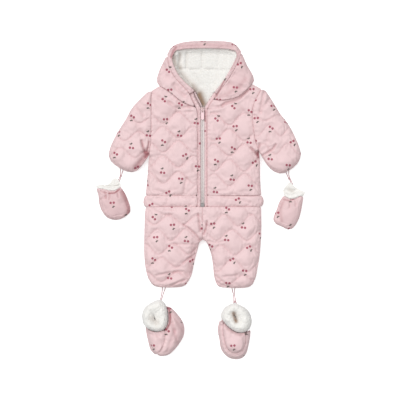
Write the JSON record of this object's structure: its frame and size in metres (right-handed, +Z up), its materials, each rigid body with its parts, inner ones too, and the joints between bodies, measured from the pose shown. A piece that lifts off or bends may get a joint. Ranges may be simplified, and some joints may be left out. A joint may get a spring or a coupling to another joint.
{
  "type": "baby snowsuit",
  "caption": "Padded, quilted baby snowsuit with a plush-lined hood, front zip, and mittens and booties held on by thin cord loops, laid flat on its back.",
  "frame": {"origin": "middle of the outline on the surface that the suit lies on", "axes": "+X towards the baby's left hand, +Y towards the hood, +Z up from the surface, out of the front of the suit"},
  "size_m": [0.5473, 0.8252, 0.0557],
  "materials": {
    "shell": "padded pink shell cloth with a small printed fruit motif, quilted",
    "plush": "off-white plush pile",
    "zip_tape": "pale woven zip tape",
    "zip_metal": "satin",
    "pull": "pale pink, smooth",
    "cord": "thin braided pink cord"
  },
  "bodies": {
    "suit": {"back": "shell", "bootie_left_cuff": "plush", "bootie_left_side": "shell", "bootie_left_sole": "shell", "bootie_left_vamp": "shell", "bootie_right_cuff": "plush", "bootie_right_side": "shell", "bootie_right_sole": "shell", "bootie_right_vamp": "shell", "front_left": "shell", "front_right": "shell", "hem_band_back": "shell", "hem_band_left": "shell", "hem_band_right": "shell", "hood_back": "shell", "hood_band": "shell", "hood_lining_back": "plush", "hood_lining_side": "plush", "hood_side_left": "shell", "hood_side_right": "shell", "leg_left_back": "shell", "leg_left_front": "shell", "leg_right_back": "shell", "leg_right_front": "shell", "loop_bootie_left": "cord", "loop_bootie_right": "cord", "loop_mitten_left": "cord", "loop_mitten_right": "cord", "mitten_left_lip_top": "plush", "mitten_left_lip_under": "plush", "mitten_left_top": "shell", "mitten_left_under": "shell", "mitten_right_lip_top": "plush", "mitten_right_lip_under": "plush", "mitten_right_top": "shell", "mitten_right_under": "shell", "sleeve_left_top": "shell", "sleeve_left_under": "shell", "sleeve_right_top": "shell", "sleeve_right_under": "shell", "zip_bottom_stop": "zip_metal", "zip_slider": "zip_metal", "zip_tape_left": "zip_tape", "zip_tape_right": "zip_tape", "zip_welt_left": "shell", "zip_welt_right": "shell"},
    "pull_tab": {"pull_tab": "pull"}
  },
  "joints": [
    {"name": "pull_tab_hinge", "type": "hinge", "parent": "suit", "child": "pull_tab", "pos_m": [0.0055, 0.2349, 0.0287], "axis": [-1, 0, 0], "range_deg": [0, 150]}
  ]
}
